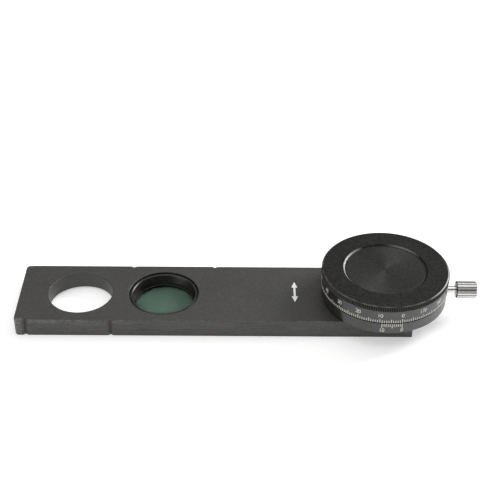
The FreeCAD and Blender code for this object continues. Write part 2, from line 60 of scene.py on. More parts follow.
camera_azimuth = math.radians(-0.154)
camera_roll = math.radians(0.449)
camera_turn = (Matrix.Rotation(camera_azimuth, 3, "Z")
               @ Matrix.Rotation(math.pi / 2 - camera_elevation, 3, "X")
               @ Matrix.Rotation(camera_roll, 3, "Z"))
camera_back = Vector((math.sin(camera_azimuth) * math.cos(camera_elevation),
                      -math.cos(camera_azimuth) * math.cos(camera_elevation),
                      math.sin(camera_elevation)))
camera = bpy.data.objects.new("camera", bpy.data.cameras.new("camera"))
bpy.context.scene.collection.objects.link(camera)
bpy.context.scene.camera = camera
camera.data.lens = 83.2
camera.data.clip_start = 0.01
camera.location = camera_target + camera_back * camera_distance
camera.rotation_euler = camera_turn.to_euler()
bpy.context.scene.view_settings.view_transform = "Standard"


def wire(source, socket):
    """Links two sockets of one node tree."""
    source.id_data.links.new(source, socket)


def calculate(operation, first, second=None):
    """One step of arithmetic on a socket, with a second socket or a number."""
    step = first.id_data.nodes.new("ShaderNodeMath")
    step.operation = operation
    for socket, value in zip(step.inputs, (first, second)):
        if isinstance(value, (int, float)):
            socket.default_value = value
        elif value is not None:
            wire(value, socket)
    return step.outputs[0]


def spread(value, low, high, start=0.3, end=0.7):
    """Maps a value from start...end to low...high."""
    span = value.id_data.nodes.new("ShaderNodeMapRange")
    span.inputs["From Min"].default_value = start
    span.inputs["From Max"].default_value = end
    span.inputs["To Min"].default_value = low
    span.inputs["To Max"].default_value = high
    wire(value, span.inputs["Value"])
    return span.outputs[0]


bpy.ops.object.select_all(action="DESELECT")
bpy.ops.mesh.primitive_plane_add(size=table_size, location=(0, 0, -table_gap))
table = bpy.context.object
table.name = "table"
table_white = bpy.data.materials.new("table_white")
table_white.use_nodes = True
nodes = table_white.node_tree.nodes
table_paint = nodes["Principled BSDF"]
table_paint.inputs["Base Color"].default_value = (0.82, 0.82, 0.815, 1)
table_paint.inputs["Roughness"].default_value = 0.9
table_paint.inputs["Specular IOR Level"].default_value = 0.1
# The white glows a little where the camera sees it straight, by a reflection or through
# glass, and glows more farther out, where the lamps are weak.
ray = nodes.new("ShaderNodeLightPath").outputs
seen = calculate("MAXIMUM", calculate("MAXIMUM", ray["Is Camera Ray"], ray["Is Glossy Ray"]),
                 ray["Is Transmission Ray"])
table_reach = nodes.new("ShaderNodeVectorMath")
table_reach.operation = "LENGTH"
wire(nodes.new("ShaderNodeTexCoord").outputs["Object"], table_reach.inputs[0])
glow = spread(table_reach.outputs["Value"], table_glow_near, 1, table_glow_from, table_glow_to)
table_glow = nodes.new("ShaderNodeEmission")
wire(calculate("MULTIPLY", seen, glow), table_glow.inputs["Strength"])
table_both = nodes.new("ShaderNodeAddShader")
wire(table_paint.outputs[0], table_both.inputs[0])
wire(table_glow.outputs[0], table_both.inputs[1])
wire(table_both.outputs[0], nodes["Material Output"].inputs["Surface"])
table.data.materials.append(table_white)

room = bpy.data.worlds.new("room")
bpy.context.scene.world = room
room.use_nodes = True
nodes = room.node_tree.nodes
room_light = nodes["Background"]
room_light.inputs["Color"].default_value = (1, 1, 1, 1)
room_height = nodes.new("ShaderNodeSeparateXYZ")
wire(nodes.new("ShaderNodeTexCoord").outputs["Generated"], room_height.inputs[0])
wire(spread(room_height.outputs["Z"], 0.1, 0.55, 0.3, 1.0), room_light.inputs["Strength"])

for lamp_name, lamp_size, lamp_power, lamp_place in (
        ("lamp_above", 1.2, 4.2, Vector((-0.05, 0.05, 1.0))),
        ("lamp_right", 0.42, 8.8, Vector((0.7, 0.5, 0.48))),
        ("lamp_left", 1.0, 2.5, Vector((-0.9, -0.5, 0.5)))):
    lamp = bpy.data.objects.new(lamp_name, bpy.data.lights.new(lamp_name, "AREA"))
    lamp.data.size = lamp_size
    lamp.data.energy = lamp_power
    lamp.location = lamp_place
    lamp.rotation_euler = (camera_target - lamp_place).to_track_quat("-Z", "Y").to_euler()
    bpy.context.scene.collection.objects.link(lamp)


# Slider bar.
# A flat aluminium bar milled on all sides, bead-blasted and anodised matt black. Two round
# holes go through it, V notches in both long edges click it into place in the microscope,
# and pockets for the gears are milled from below.
bar_low, bar_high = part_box("slider_bar")
cover_low, cover_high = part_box("bottom_cover")
axis_x = {joint["name"]: joint["pos_m"][0] for joint in frame["record"]["behaviour"]["joints"]
          if joint.get("pos_m")}
cell_x = axis_x["cell_turn"]
aperture_mount = next(mount for mount in frame["record"]["mounts"] if mount["name"] == "light_aperture")
aperture_x = aperture_mount["pos_m"][0]
aperture_radius = aperture_mount["dims"]["r_mm"] * mm
cell_window_radius = 11.7 * mm
bar_corner_radius = 1.5 * mm
bar_edge_radius = 0.2 * mm
bar_skin = 1.5 * mm
aperture_flare = 0.8 * mm
notch_offset = 16.85 * mm
notch_reach = 0.85 * mm
notch_depth = 0.6 * mm
pocket_clearance = 0.5 * mm
cover_corner_radius = 2.0 * mm
bush_radius = 3.05 * mm
idler_pin_radius = 1.0 * mm
idler_pin_skin = 0.4 * mm
overcut = 1.0 * mm
hole_sides = 160
crease_angle = math.radians(12)


def only(piece):
    """Selects this piece alone."""
    bpy.ops.object.select_all(action="DESELECT")
    piece.select_set(True)
    bpy.context.view_layer.objects.active = piece


def edit(piece, kind, wanted):
    """Opens the piece for editing with the faces, edges or vertices that wanted() names selected."""
    only(piece)
    bpy.ops.object.mode_set(mode="EDIT")
    bpy.ops.mesh.select_mode(type=kind)
    bpy.ops.mesh.select_all(action="DESELECT")
    mesh = bmesh.from_edit_mesh(piece.data)
    parts = {"VERT": mesh.verts, "EDGE": mesh.edges, "FACE": mesh.faces}[kind]
    for part in parts:
        if wanted(part):
            part.select_set(True)
    mesh.select_flush_mode()
    bmesh.update_edit_mesh(piece.data)


def finish_piece(piece, name, body, material):
    """Names the piece, smooths its round faces and fixes it to the body that carries it."""
    only(piece)
    bpy.ops.object.mode_set(mode="OBJECT")
    bpy.ops.object.transform_apply(location=True, rotation=True, scale=True)
    bpy.ops.object.shade_smooth_by_angle(angle=crease_angle)
    piece.name = name
    piece.data.materials.clear()
    piece.data.materials.append(material)
    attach(piece, body)


def cut_away(piece, cutter):
    """Takes the cutter's shape out of the piece, as a mill or a drill does."""
    only(piece)
    cut = piece.modifiers.new("cut", "BOOLEAN")
    cut.object = cutter
    cut.solver = "EXACT"
    bpy.ops.object.modifier_apply(modifier=cut.name)
    bpy.data.objects.remove(cutter)


def drill(piece, radius, low, high, x=0.0, y=0.0, sides=96):
    """Drills an upright hole from one level to another."""
    bpy.ops.object.select_all(action="DESELECT")
    bpy.ops.mesh.primitive_cylinder_add(vertices=sides, radius=radius, depth=high - low,
                                        location=(x, y, (low + high) / 2))
    cut_away(piece, bpy.context.object)


def new_finish(name, roughness, metallic=0.0):
    """Starts a finish whose pattern follows the piece's own coordinates."""
    finish = bpy.data.materials.new(name)
    finish.use_nodes = True
    shader = finish.node_tree.nodes["Principled BSDF"]
    shader.inputs["Roughness"].default_value = roughness
    shader.inputs["Metallic"].default_value = metallic
    place = finish.node_tree.nodes.new("ShaderNodeTexCoord")
    return finish, shader, place.outputs["Object"]


def grain(place, size, detail=2.0, rough=0.5):
    """Cloudy noise whose lumps are about this size."""
    noise = place.id_data.nodes.new("ShaderNodeTexNoise")
    noise.inputs["Scale"].default_value = 1 / size
    noise.inputs["Detail"].default_value = detail
    noise.inputs["Roughness"].default_value = rough
    wire(place, noise.inputs["Vector"])
    return noise.outputs["Fac"]


def tint(shader, amount, dark, light):
    """Gives the finish a colour that goes from dark to light with the amount."""
    mix = shader.id_data.nodes.new("ShaderNodeMix")
    mix.data_type = "RGBA"
    mix.inputs["A"].default_value = (*dark, 1)
    mix.inputs["B"].default_value = (*light, 1)
    wire(amount, mix.inputs["Factor"])
    wire(mix.outputs["Result"], shader.inputs["Base Color"])


def paint_over(shader, amount, colour):
    """Covers the finish with another colour by the amount."""
    mix = shader.id_data.nodes.new("ShaderNodeMix")
    mix.data_type = "RGBA"
    mix.inputs["B"].default_value = (*colour, 1)
    wire(shader.inputs["Base Color"].links[0].from_socket, mix.inputs["A"])
    wire(amount, mix.inputs["Factor"])
    wire(mix.outputs["Result"], shader.inputs["Base Color"])


def relief(shader, height, depth, strength=0.5, under=None):
    """Raises the surface by the height, over another relief where one is given."""
    bump = shader.id_data.nodes.new("ShaderNodeBump")
    bump.inputs["Distance"].default_value = depth
    bump.inputs["Strength"].default_value = strength
    wire(height, bump.inputs["Height"])
    if under:
        wire(under, bump.inputs["Normal"])
    wire(bump.outputs[0], shader.inputs["Normal"])
    return bump.outputs[0]


def along(place, letter):
    """One coordinate of the place."""
    split = place.id_data.nodes.new("ShaderNodeSeparateXYZ")
    wire(place, split.inputs[0])
    return split.outputs[letter]


def drawn_out(place, share):
    """The place squeezed along X, which draws a pattern out along the bar."""
    squeezed = place.id_data.nodes.new("ShaderNodeVectorMath")
    squeezed.operation = "MULTIPLY"
    squeezed.inputs[1].default_value = (share, 1, 1)
    wire(place, squeezed.inputs[0])
    return squeezed.outputs[0]


def near(value, middle, width):
    """1 where the value is the middle, down to 0 at this width from it."""
    away = calculate("ABSOLUTE", calculate("SUBTRACT", value, middle))
    return spread(away, 1, 0, 0, width)


def both(first, *others):
    """Product of several amounts."""
    product = first
    for amount in others:
        product = calculate("MULTIPLY", product, amount)
    return product


def blasted_black():
    """Matt black over a bead-blasted surface, with the cutter's marks left along the bar's long
    sides. It is rubbed grey on the long edges, near the end that hands hold and at its corners."""
    finish, shader, place = new_finish("blasted_black", 0.5)
    shader.inputs["Specular IOR Level"].default_value = 0.9
    beads = grain(place, 0.45 * mm, 4, 0.65)
    tint(shader, spread(beads, 0, 1, 0.35, 0.65), (0.009, 0.0085, 0.007), (0.050, 0.048, 0.041))
    wire(spread(grain(place, 9 * mm, 3, 0.55), 0.46, 0.56), shader.inputs["Roughness"])
    relief(shader, beads, 0.02 * mm, 0.7)

    x_place, y_place, z_place = (along(place, letter) for letter in "XYZ")
    side = calculate("ABSOLUTE", y_place)
    on_side = near(side, bar_high.y, 0.1 * mm)
    patches = spread(grain(place, 1.6 * mm, 4, 0.7), 0, 0.9, 0.42, 0.6)
    edge_band_width = 0.3 * mm
    rubbed = both(near(side, bar_high.y, edge_band_width), near(z_place, bar_high.z, edge_band_width), patches)
    paint_over(shader, rubbed, (0.17, 0.165, 0.15))
    cutter_marks = grain(drawn_out(place, 0.06), 0.5 * mm, 3, 0.6)
    paint_over(shader, both(on_side, spread(cutter_marks, 0, 0.5, 0.45, 0.65)), (0.07, 0.068, 0.062))
    paint_over(shader, both(on_side, spread(cutter_marks, 0.7, 0, 0.35, 0.5)), (0.007, 0.007, 0.006))
    towards_end = spread(x_place, 1, 0, bar_low.x + 8 * mm, bar_low.x + 45 * mm)
    handled = both(on_side, near(z_place, bar_high.z, 2.2 * mm), towards_end, patches)
    paint_over(shader, handled, (0.13, 0.127, 0.117))
    corner = both(spread(x_place, 1, 0, bar_low.x + 1.8 * mm, bar_low.x + 3.2 * mm),
                  spread(side, 0, 1, bar_high.y - 1.4 * mm, bar_high.y - 0.6 * mm))
    scuffs = spread(grain(place, 0.5 * mm, 4, 0.7), 0.1, 1, 0.48, 0.62)
    paint_over(shader, both(corner, scuffs), (0.22, 0.215, 0.2))
    return finish


bar_size = bar_high - bar_low
bpy.ops.object.select_all(action="DESELECT")
bpy.ops.mesh.primitive_cube_add(size=1, location=(bar_low + bar_high) / 2)
bar = bpy.context.object
bar.scale = bar_size
bpy.ops.object.transform_apply(location=True, rotation=True, scale=True)
edit(bar, "EDGE", lambda edge: abs(edge.verts[0].co.z - edge.verts[1].co.z) > bar_size.z / 2
     and edge.verts[0].co.x < bar_low.x + mm)
bpy.ops.mesh.bevel(offset=bar_corner_radius, segments=10, affect="EDGES")
bpy.ops.object.mode_set(mode="OBJECT")
notch_places = ((aperture_x - notch_offset, bar_low.y), (cell_x - notch_offset, bar_low.y),
                (cell_x + notch_offset, bar_high.y), (aperture_x + notch_offset, bar_high.y))
for notch_x, notch_y in notch_places:
    bpy.ops.object.select_all(action="DESELECT")
    bpy.ops.mesh.primitive_cylinder_add(vertices=4, radius=1, depth=2 * bar_size.z,
                                        location=(notch_x, notch_y, bar_size.z / 2))
    bpy.context.object.scale = (notch_reach, notch_depth, 1)
    cut_away(bar, bpy.context.object)
drill(bar, aperture_radius, -overcut, bar_high.z + overcut, aperture_x, sides=hole_sides)
drill(bar, cell_window_radius, cover_high.z, bar_high.z + overcut, cell_x, sides=hole_sides)


def on_bar_outline(edge):
    """Edges that lie in the bar's top or underside."""
    low, high = sorted(vert.co.z for vert in edge.verts)
    tolerance = bar_edge_radius / 4
    return high - low < tolerance and min(abs(low - bar_high.z), abs(low)) < tolerance


edit(bar, "EDGE", on_bar_outline)
bpy.ops.mesh.bevel(offset=bar_edge_radius, segments=3, affect="EDGES")
bpy.ops.object.mode_set(mode="OBJECT")
bpy.ops.object.select_all(action="DESELECT")
bpy.ops.mesh.primitive_cone_add(vertices=hole_sides, radius1=aperture_radius + aperture_flare + overcut,
                                radius2=aperture_radius - overcut, depth=aperture_flare + 2 * overcut,
                                location=(aperture_x, 0, aperture_flare / 2))
cut_away(bar, bpy.context.object)

pocket_top = bar_high.z - bar_skin
for gear in ("dial_pinion", "idler_gear_1", "idler_gear_2", "idler_gear_3", "cell_ring_gear"):
    gear_low, gear_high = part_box(gear)
    pocket_radius = (gear_high.y - gear_low.y) / 2 + pocket_clearance
    drill(bar, pocket_radius, cover_high.z / 2, pocket_top, (gear_low.x + gear_high.x) / 2)
cover_size = cover_high - cover_low
bpy.ops.object.select_all(action="DESELECT")
bpy.ops.mesh.primitive_cube_add(size=1, location=((cover_low.x + cover_high.x) / 2, 0, 0))
cover_seat = bpy.context.object
cover_seat.scale = (cover_size.x, cover_size.y, 2 * cover_size.z)
bpy.ops.object.transform_apply(location=True, rotation=True, scale=True)
edit(cover_seat, "EDGE", lambda edge: abs(edge.verts[0].co.z - edge.verts[1].co.z) > cover_size.z)
bpy.ops.mesh.bevel(offset=cover_corner_radius, segments=8, affect="EDGES")
bpy.ops.object.mode_set(mode="OBJECT")
cut_away(bar, cover_seat)
drill(bar, bush_radius, pocket_top - overcut, bar_high.z + overcut, sides=64)
for pin in (1, 2, 3):
    drill(bar, idler_pin_radius, pocket_top - overcut, bar_high.z - idler_pin_skin,
          axis_x[f"idler_{pin}_turn"], sides=32)
finish_piece(bar, "bar", "slider", blasted_black())
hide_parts("slider_bar")


# Double arrow.
# A generic double-headed arrow is filled with white paint in the bar's top. It shows the
# direction that the polarizer passes at zero.
arrow_x = -29.9 * mm
arrow_low_y, arrow_high_y = -4.65 * mm, 6.4 * mm
arrow_head_length = 3.1 * mm
arrow_head_width = 2.1 * mm
arrow_shaft_width = 0.7 * mm
paint_thickness = 0.015 * mm


def mottled(name, roughness, size, dark, light, depth, metallic=0.0, smooth_to_rough=None,
            detail=3, rough=0.6):
    """Small clouds of two near colours, a little raised, and rougher where they are light."""
    finish, shader, place = new_finish(name, roughness, metallic)
    clouds = grain(place, size, detail, rough)
    tint(shader, spread(clouds, 0, 1), dark, light)
    if smooth_to_rough:
        wire(spread(clouds, *smooth_to_rough), shader.inputs["Roughness"])
    relief(shader, clouds, depth)
    return finish


def arrow_end(sign):
    """Picks the shaft's short edge on the side of the sign."""
    shaft_end = arrow_half - 1.05 * arrow_head_length
    return lambda edge: all(sign * (vert.co.y - arrow_middle) > shaft_end for vert in edge.verts)


white_paint = mottled("white_paint", 0.55, 0.35 * mm, (0.86, 0.85, 0.83), (0.97, 0.97, 0.96), 0.01 * mm)
arrow_middle = (arrow_low_y + arrow_high_y) / 2
arrow_half = (arrow_high_y - arrow_low_y) / 2
bpy.ops.object.select_all(action="DESELECT")
bpy.ops.mesh.primitive_plane_add(size=1, location=(arrow_x, arrow_middle, bar_high.z))
arrow = bpy.context.object
arrow.scale = (arrow_shaft_width, 2 * (arrow_half - arrow_head_length), 1)
bpy.ops.object.transform_apply(location=True, rotation=True, scale=True)
for side in (-1, 1):
    edit(arrow, "EDGE", arrow_end(side))
    bpy.ops.mesh.extrude_edges_move()
    bpy.ops.transform.resize(value=(arrow_head_width / arrow_shaft_width, 1, 1),
                             center_override=(arrow_x, arrow_middle, bar_high.z))
    bpy.ops.mesh.extrude_edges_move(TRANSFORM_OT_translate={"value": (0, side * arrow_head_length, 0)})
    bpy.ops.transform.resize(value=(0, 1, 1), center_override=(arrow_x, arrow_middle, bar_high.z))
    bpy.ops.mesh.select_all(action="SELECT")
    bpy.ops.mesh.remove_doubles(threshold=0.001 * mm)
    bpy.ops.object.mode_set(mode="OBJECT")
edit(arrow, "FACE", lambda face: True)
bpy.ops.mesh.normals_make_consistent(inside=False)
bpy.ops.mesh.extrude_region_move(TRANSFORM_OT_translate={"value": (0, 0, paint_thickness)})
bpy.ops.mesh.select_all(action="SELECT")
bpy.ops.mesh.normals_make_consistent(inside=False)
bpy.ops.object.mode_set(mode="OBJECT")
finish_piece(arrow, "double_arrow", "slider", white_paint)


# Bottom cover and its screws.
# A thin milled plate closes the gear pockets from below, flush with the underside. Small
# blackened countersunk screws with cross recesses hold it.
cover_screw_inset = 1.9 * mm
cover_screw_columns = 3
cover_screw_head_radius = 1.5 * mm
cover_screw_head_height = 0.7 * mm
cover_screw_radius = 0.8 * mm
cover_screw_length = 3.6 * mm
cross_arm = 1.5 * mm
cross_width = 0.3 * mm
cross_depth = 0.4 * mm
turn_by_column, turn_by_row = 0.6, 0.9


def milled_black():
    """Black anodised plate with fine straight cutter marks."""
    finish, shader, place = new_finish("milled_black", 0.45)
    marks = grain(drawn_out(place, 0.03), 0.25 * mm, 3, 0.6)
    tint(shader, spread(marks, 0, 1), (0.018, 0.0175, 0.017), (0.033, 0.032, 0.031))
    wire(spread(marks, 0.38, 0.52), shader.inputs["Roughness"])
    relief(shader, marks, 0.01 * mm, 0.6)
    return finish


def blackened_steel():
    """Oiled black oxide on small steel screws."""
    finish, shader, place = new_finish("blackened_steel", 0.35, 0.6)
    stains = grain(place, 0.6 * mm, 3, 0.6)
    tint(shader, spread(stains, 0, 1), (0.03, 0.03, 0.032), (0.07, 0.068, 0.065))
    wire(spread(stains, 0.28, 0.42), shader.inputs["Roughness"])
    relief(shader, grain(place, 0.08 * mm), 0.004 * mm)
    return finish


def dress(node, material):
    """Gives a construction node its finish."""
    node_object = frame["nodes"][node]
    for slot_index in range(max(1, len(node_object.material_slots))):
        if node_object.material_slots:
            node_object.material_slots[slot_index].material = material
        else:
            node_object.data.materials.append(material)


dress("bottom_cover", milled_black())
black_screw = blackened_steel()

bpy.ops.object.select_all(action="DESELECT")
bpy.ops.mesh.primitive_circle_add(vertices=48, radius=cover_screw_head_radius, fill_type="NGON")
cover_screw = bpy.context.object
edit(cover_screw, "FACE", lambda face: True)
screw_levels = ((cover_screw_radius, cover_screw_head_height), (cover_screw_radius, cover_screw_length))
from_radius, from_height = cover_screw_head_radius, 0.0
for to_radius, to_height in screw_levels:
    bpy.ops.mesh.extrude_region_move(TRANSFORM_OT_translate={"value": (0, 0, to_height - from_height)})
    bpy.ops.transform.resize(value=(to_radius / from_radius, to_radius / from_radius, 1),
                             center_override=(0, 0, 0))
    from_radius, from_height = to_radius, to_height
bpy.ops.mesh.select_all(action="SELECT")
bpy.ops.mesh.normals_make_consistent(inside=False)
bpy.ops.object.mode_set(mode="OBJECT")
for arm_size in ((cross_arm, cross_width), (cross_width, cross_arm)):
    bpy.ops.object.select_all(action="DESELECT")
    bpy.ops.mesh.primitive_cube_add(size=1, location=(0, 0, 0))
    bpy.context.object.scale = (*arm_size, 2 * cross_depth)
    cut_away(cover_screw, bpy.context.object)
first_x = cover_low.x + cover_screw_inset
last_x = cover_high.x - cover_screw_inset
for column in range(cover_screw_columns):
    for row in (-1, 1):
        screw_copy = cover_screw.copy()
        screw_copy.data = cover_screw.data.copy()
        bpy.context.scene.collection.objects.link(screw_copy)
        screw_copy.location = (first_x + (last_x - first_x) * column / (cover_screw_columns - 1),
                               row * (cover_high.y - cover_screw_inset), 0)
        screw_copy.rotation_euler.z = turn_by_column * column + turn_by_row * row
        finish_piece(screw_copy, f"cover_screw_{2 * column + (row + 1) // 2 + 1}", "slider",
                     black_screw)
        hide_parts("cover_screws")
bpy.data.objects.remove(cover_screw)


# Gear train.
# Five brass gears carry the dial's turn along the bar to the cell. The idlers run on ground
# steel pins pressed into the bar. Nothing of them shows from outside.
brass = mottled("cut_brass", 0.3, 0.3 * mm, (0.62, 0.44, 0.19), (0.78, 0.59, 0.29), 0.005 * mm,
                metallic=1.0, smooth_to_rough=(0.24, 0.38))
steel = mottled("ground_steel", 0.25, 0.15 * mm, (0.48, 0.48, 0.49), (0.62, 0.62, 0.61), 0.003 * mm,
                metallic=1.0, smooth_to_rough=(0.2, 0.32))
for node in ("idler_gear_1", "idler_gear_2", "idler_gear_3", "cell_ring_gear", "dial_pinion"):
    dress(node, brass)
dress("idler_pins", steel)


# Analyzer cell.
# A turned black tube in the second hole holds the polarizer. Its bore is threaded for the
# retaining ring, and it turns in a black acetal ring under the bar's top skin.
cell_low, cell_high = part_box("analyzer_cell")
retainer_low, retainer_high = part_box("glass_retainer")
lower_glass_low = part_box("lower_glass")[0]
ring_gear_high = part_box("cell_ring_gear")[1]
cell_radius = 11.2 * mm
cell_journal_radius = 10.9 * mm
cell_bore_radius = 10.4 * mm
cell_lip_radius = 9.6 * mm
cell_flange_radius = 12.2 * mm
cell_flange_thickness = 0.7 * mm
cell_rim_break = 0.08 * mm
thread_pitch = 0.5 * mm
thread_depth = 0.12 * mm
cell_lead_in = 0.2 * mm
lathe_sides = 192


def turn_ring(section, x=0.0, sides=lathe_sides):
    """Turns a closed section of (radius, height) corners about the upright line at x."""
    bpy.ops.object.select_all(action="DESELECT")
    radius, height = section[0]
    bpy.ops.mesh.primitive_circle_add(vertices=sides, radius=radius, location=(x, 0, height))
    piece = bpy.context.object
    bpy.ops.object.mode_set(mode="EDIT")
    bpy.ops.mesh.select_mode(type="EDGE")
    bpy.ops.mesh.select_all(action="SELECT")
    for next_radius, next_height in section[1:] + section[:1]:
        bpy.ops.mesh.extrude_edges_move(TRANSFORM_OT_translate={"value": (0, 0, next_height - height)})
        bpy.ops.transform.resize(value=(next_radius / radius, next_radius / radius, 1),
                                 center_override=(x, 0, 0))
        radius, height = next_radius, next_height
    bpy.ops.mesh.select_all(action="SELECT")
    bpy.ops.mesh.remove_doubles(threshold=0.002 * mm)
    bpy.ops.mesh.normals_make_consistent(inside=False)
    bpy.ops.object.mode_set(mode="OBJECT")
    bpy.ops.object.transform_apply(location=True, rotation=True, scale=True)
    return piece


def round_edges(piece, width, segments=2, angle=40):
    """Breaks every sharp edge of the piece."""
    only(piece)
    rounding = piece.modifiers.new("rounding", "BEVEL")
    rounding.width = width
    rounding.segments = segments
    rounding.limit_method = "ANGLE"
    rounding.angle_limit = math.radians(angle)
    bpy.ops.object.modifier_apply(modifier=rounding.name)


def round_axis(place, centre_x=0.0):
    """Distance from the upright line at centre_x, and the angle round it."""
    x_place = calculate("SUBTRACT", along(place, "X"), centre_x)
    y_place = along(place, "Y")
    squares = calculate("ADD", both(x_place, x_place), both(y_place, y_place))
    return calculate("SQRT", squares), calculate("ARCTAN2", y_place, x_place)


def turned_black(name, roughness, ring_pitch, shine, centre_x=0.0):
    """Black anodised aluminium off the lathe: fine rings about the piece's own axis."""
    finish, shader, place = new_finish(name, roughness)
    shader.inputs["Specular IOR Level"].default_value = shine
    reach, angle = round_axis(place, centre_x)
    by_ring = place.id_data.nodes.new("ShaderNodeCombineXYZ")
    wire(reach, by_ring.inputs["X"])
    wire(along(place, "Z"), by_ring.inputs["Y"])
    rings = grain(by_ring.outputs[0], ring_pitch, 2, 0.6)
    dust = grain(place, 0.7 * mm, 4, 0.65)
    tint(shader, spread(dust, 0, 1, 0.35, 0.65), (0.004, 0.0038, 0.0034), (0.024, 0.0235, 0.0215))
    smears = grain(place, 6 * mm, 4, 0.6)
    wire(spread(smears, roughness - 0.05, roughness + 0.08), shader.inputs["Roughness"])
    ringed = relief(shader, rings, 0.004 * mm, 0.6)
    relief(shader, dust, 0.01 * mm, 0.5, ringed)
    return finish, shader, place, reach, angle


black_cell = turned_black("turned_black_cell", 0.3, 0.12 * mm, 0.75, cell_x)[0]
flange_top = ring_gear_high.z + cell_flange_thickness
thread_root = cell_bore_radius + thread_depth
thread_start = cell_high.z - cell_lead_in
cell_section = [(cell_lip_radius, cell_low.z), (cell_journal_radius, cell_low.z),
                (cell_journal_radius, ring_gear_high.z), (cell_flange_radius, ring_gear_high.z),
                (cell_flange_radius, flange_top), (cell_radius, flange_top),
                (cell_radius, cell_high.z - cell_rim_break), (cell_radius - cell_rim_break, cell_high.z),
                (thread_root + cell_lead_in, cell_high.z), (thread_root, thread_start)]
thread_turns = int((thread_start - retainer_high.z) / thread_pitch)
for turn in range(thread_turns):
    crest = thread_start - (turn + 0.5) * thread_pitch
    cell_section.append((cell_bore_radius, crest))
    cell_section.append((thread_root, crest - thread_pitch / 2))
cell_section += [(cell_bore_radius, retainer_high.z), (cell_bore_radius, lower_glass_low.z),
                 (cell_lip_radius, lower_glass_low.z)]
cell = turn_ring(cell_section, cell_x)
finish_piece(cell, "cell_tube", "cell", black_cell)
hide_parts("analyzer_cell")
dress("cell_bearing_ring", mottled("black_acetal", 0.4, 0.3 * mm, (0.018, 0.018, 0.018), (0.03, 0.03, 0.03),
                                   0.004 * mm, detail=2, rough=0.5))


# Polarizer and its ring.
# The grey-green film lies between two thin glass discs with ground edges. A threaded ring
# with two slots holds them down.
glass_radius = 10.3 * mm
glass_edge = 0.08 * mm
glass_gap = 0.004 * mm
retainer_slot_width = 1.0 * mm
retainer_slot_depth = 0.4 * mm
retainer_edge = 0.08 * mm


def clear_glass():
    """Clear glass coated against reflections, with a little dust on it."""
    finish, shader, place = new_finish("clear_glass", 0.0)
    shader.inputs["Base Color"].default_value = (0.95, 0.99, 0.97, 1)
    shader.inputs["Transmission Weight"].default_value = 1.0
    shader.inputs["IOR"].default_value = 1.07
    dust = grain(place, 0.8 * mm, 5, 0.7)
    wire(spread(dust, 0.0, 0.09, 0.55, 0.75), shader.inputs["Roughness"])
    return finish


def polarizing_film():
    """Dyed plastic film, dark green over the whole disc."""
    finish, shader, place = new_finish("polarizing_film", 0.3)
    shader.inputs["Specular IOR Level"].default_value = 0.1
    drift = grain(place, 8 * mm)
    tint(shader, spread(drift, 0, 1), (0.098, 0.149, 0.119), (0.109, 0.162, 0.131))
    relief(shader, drift, 0.01 * mm, 0.2)
    return finish


glass = clear_glass()
for node in ("lower_glass", "upper_glass"):
    glass_low, glass_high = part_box(node)
    bpy.ops.object.select_all(action="DESELECT")
    bpy.ops.mesh.primitive_cylinder_add(vertices=lathe_sides, radius=glass_radius,
                                        depth=glass_high.z - glass_low.z - 2 * glass_gap,
                                        location=(cell_x, 0, (glass_low.z + glass_high.z) / 2))
    disc = bpy.context.object
    round_edges(disc, glass_edge, 1)
    finish_piece(disc, node + "_disc", "cell", glass)
    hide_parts(node)
dress("polarizer_film", polarizing_film())

retainer = turn_ring([(cell_lip_radius, retainer_low.z), (cell_bore_radius, retainer_low.z),
                      (cell_bore_radius, retainer_high.z), (cell_lip_radius, retainer_high.z)], cell_x)
bpy.ops.object.select_all(action="DESELECT")
bpy.ops.mesh.primitive_cube_add(size=1, location=(cell_x, 0, retainer_high.z))
bpy.context.object.scale = (3 * cell_bore_radius, retainer_slot_width, 2 * retainer_slot_depth)
cut_away(retainer, bpy.context.object)
round_edges(retainer, retainer_edge)
finish_piece(retainer, "retaining_ring", "cell", black_cell)
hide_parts("glass_retainer")


# Index base and vernier.
# A turned ring screwed on the bar stays still under the dial. Its front carries the vernier:
# ten divisions filled with aged white paint, numbered 0 and 10.
base_low, base_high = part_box("index_base")
base_radius = (base_high.y - base_low.y) / 2
base_well_radius = 9.2 * mm
base_edge_break = 0.3 * mm
base_rebate = 0.25 * mm
base_screw_places = [(x * mm, y * mm) for x in (-9.0, -0.5) for y in (-12.4, 12.4)]
base_screw_seat = 1.8 * mm
base_screw_head_radius = 1.9 * mm
base_screw_radius = 1.0 * mm
lock_z = next(joint["pos_m"][2] for joint in frame["record"]["behaviour"]["joints"]
              if joint["name"] == "lock_turn")
lock_hole_radius = 1.23 * mm
rebate_radius = base_radius - base_rebate
rebate_low = base_high.z - base_rebate
fine_sides = 360
black_side = turned_black("turned_black_side", 0.32, 0.15 * mm, 0.95)[0]
base = turn_ring([(base_well_radius, base_low.z), (base_radius - base_edge_break, base_low.z),
                  (base_radius, base_low.z + base_edge_break), (base_radius, rebate_low),
                  (rebate_radius, rebate_low), (rebate_radius, base_high.z),
                  (base_well_radius, base_high.z)], sides=fine_sides)
bpy.ops.object.select_all(action="DESELECT")
bpy.ops.mesh.primitive_cylinder_add(vertices=48, radius=lock_hole_radius, depth=2 * base_radius,
                                    rotation=(0, math.pi / 2, 0), location=(base_radius, 0, lock_z))
cut_away(base, bpy.context.object)
for screw_x, screw_y in base_screw_places:
    drill(base, base_screw_head_radius, base_low.z + base_screw_seat, base_high.z + overcut,
          screw_x, screw_y, sides=48)
    drill(base, base_screw_radius, base_low.z - overcut, base_high.z, screw_x, screw_y, sides=32)
finish_piece(base, "base_ring", "slider", black_side)
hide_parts("index_base")
dress("base_screws", black_screw)

line_width = 0.27 * mm
line_proud = 0.012 * mm
line_buried = 0.06 * mm
long_line_every = 5
number_every = 10
numeral_height = 1.4 * mm
numeral_pitch = 0.9 * mm
numeral_weight = 0.02 * numeral_height
digit_share_of_font = 0.7


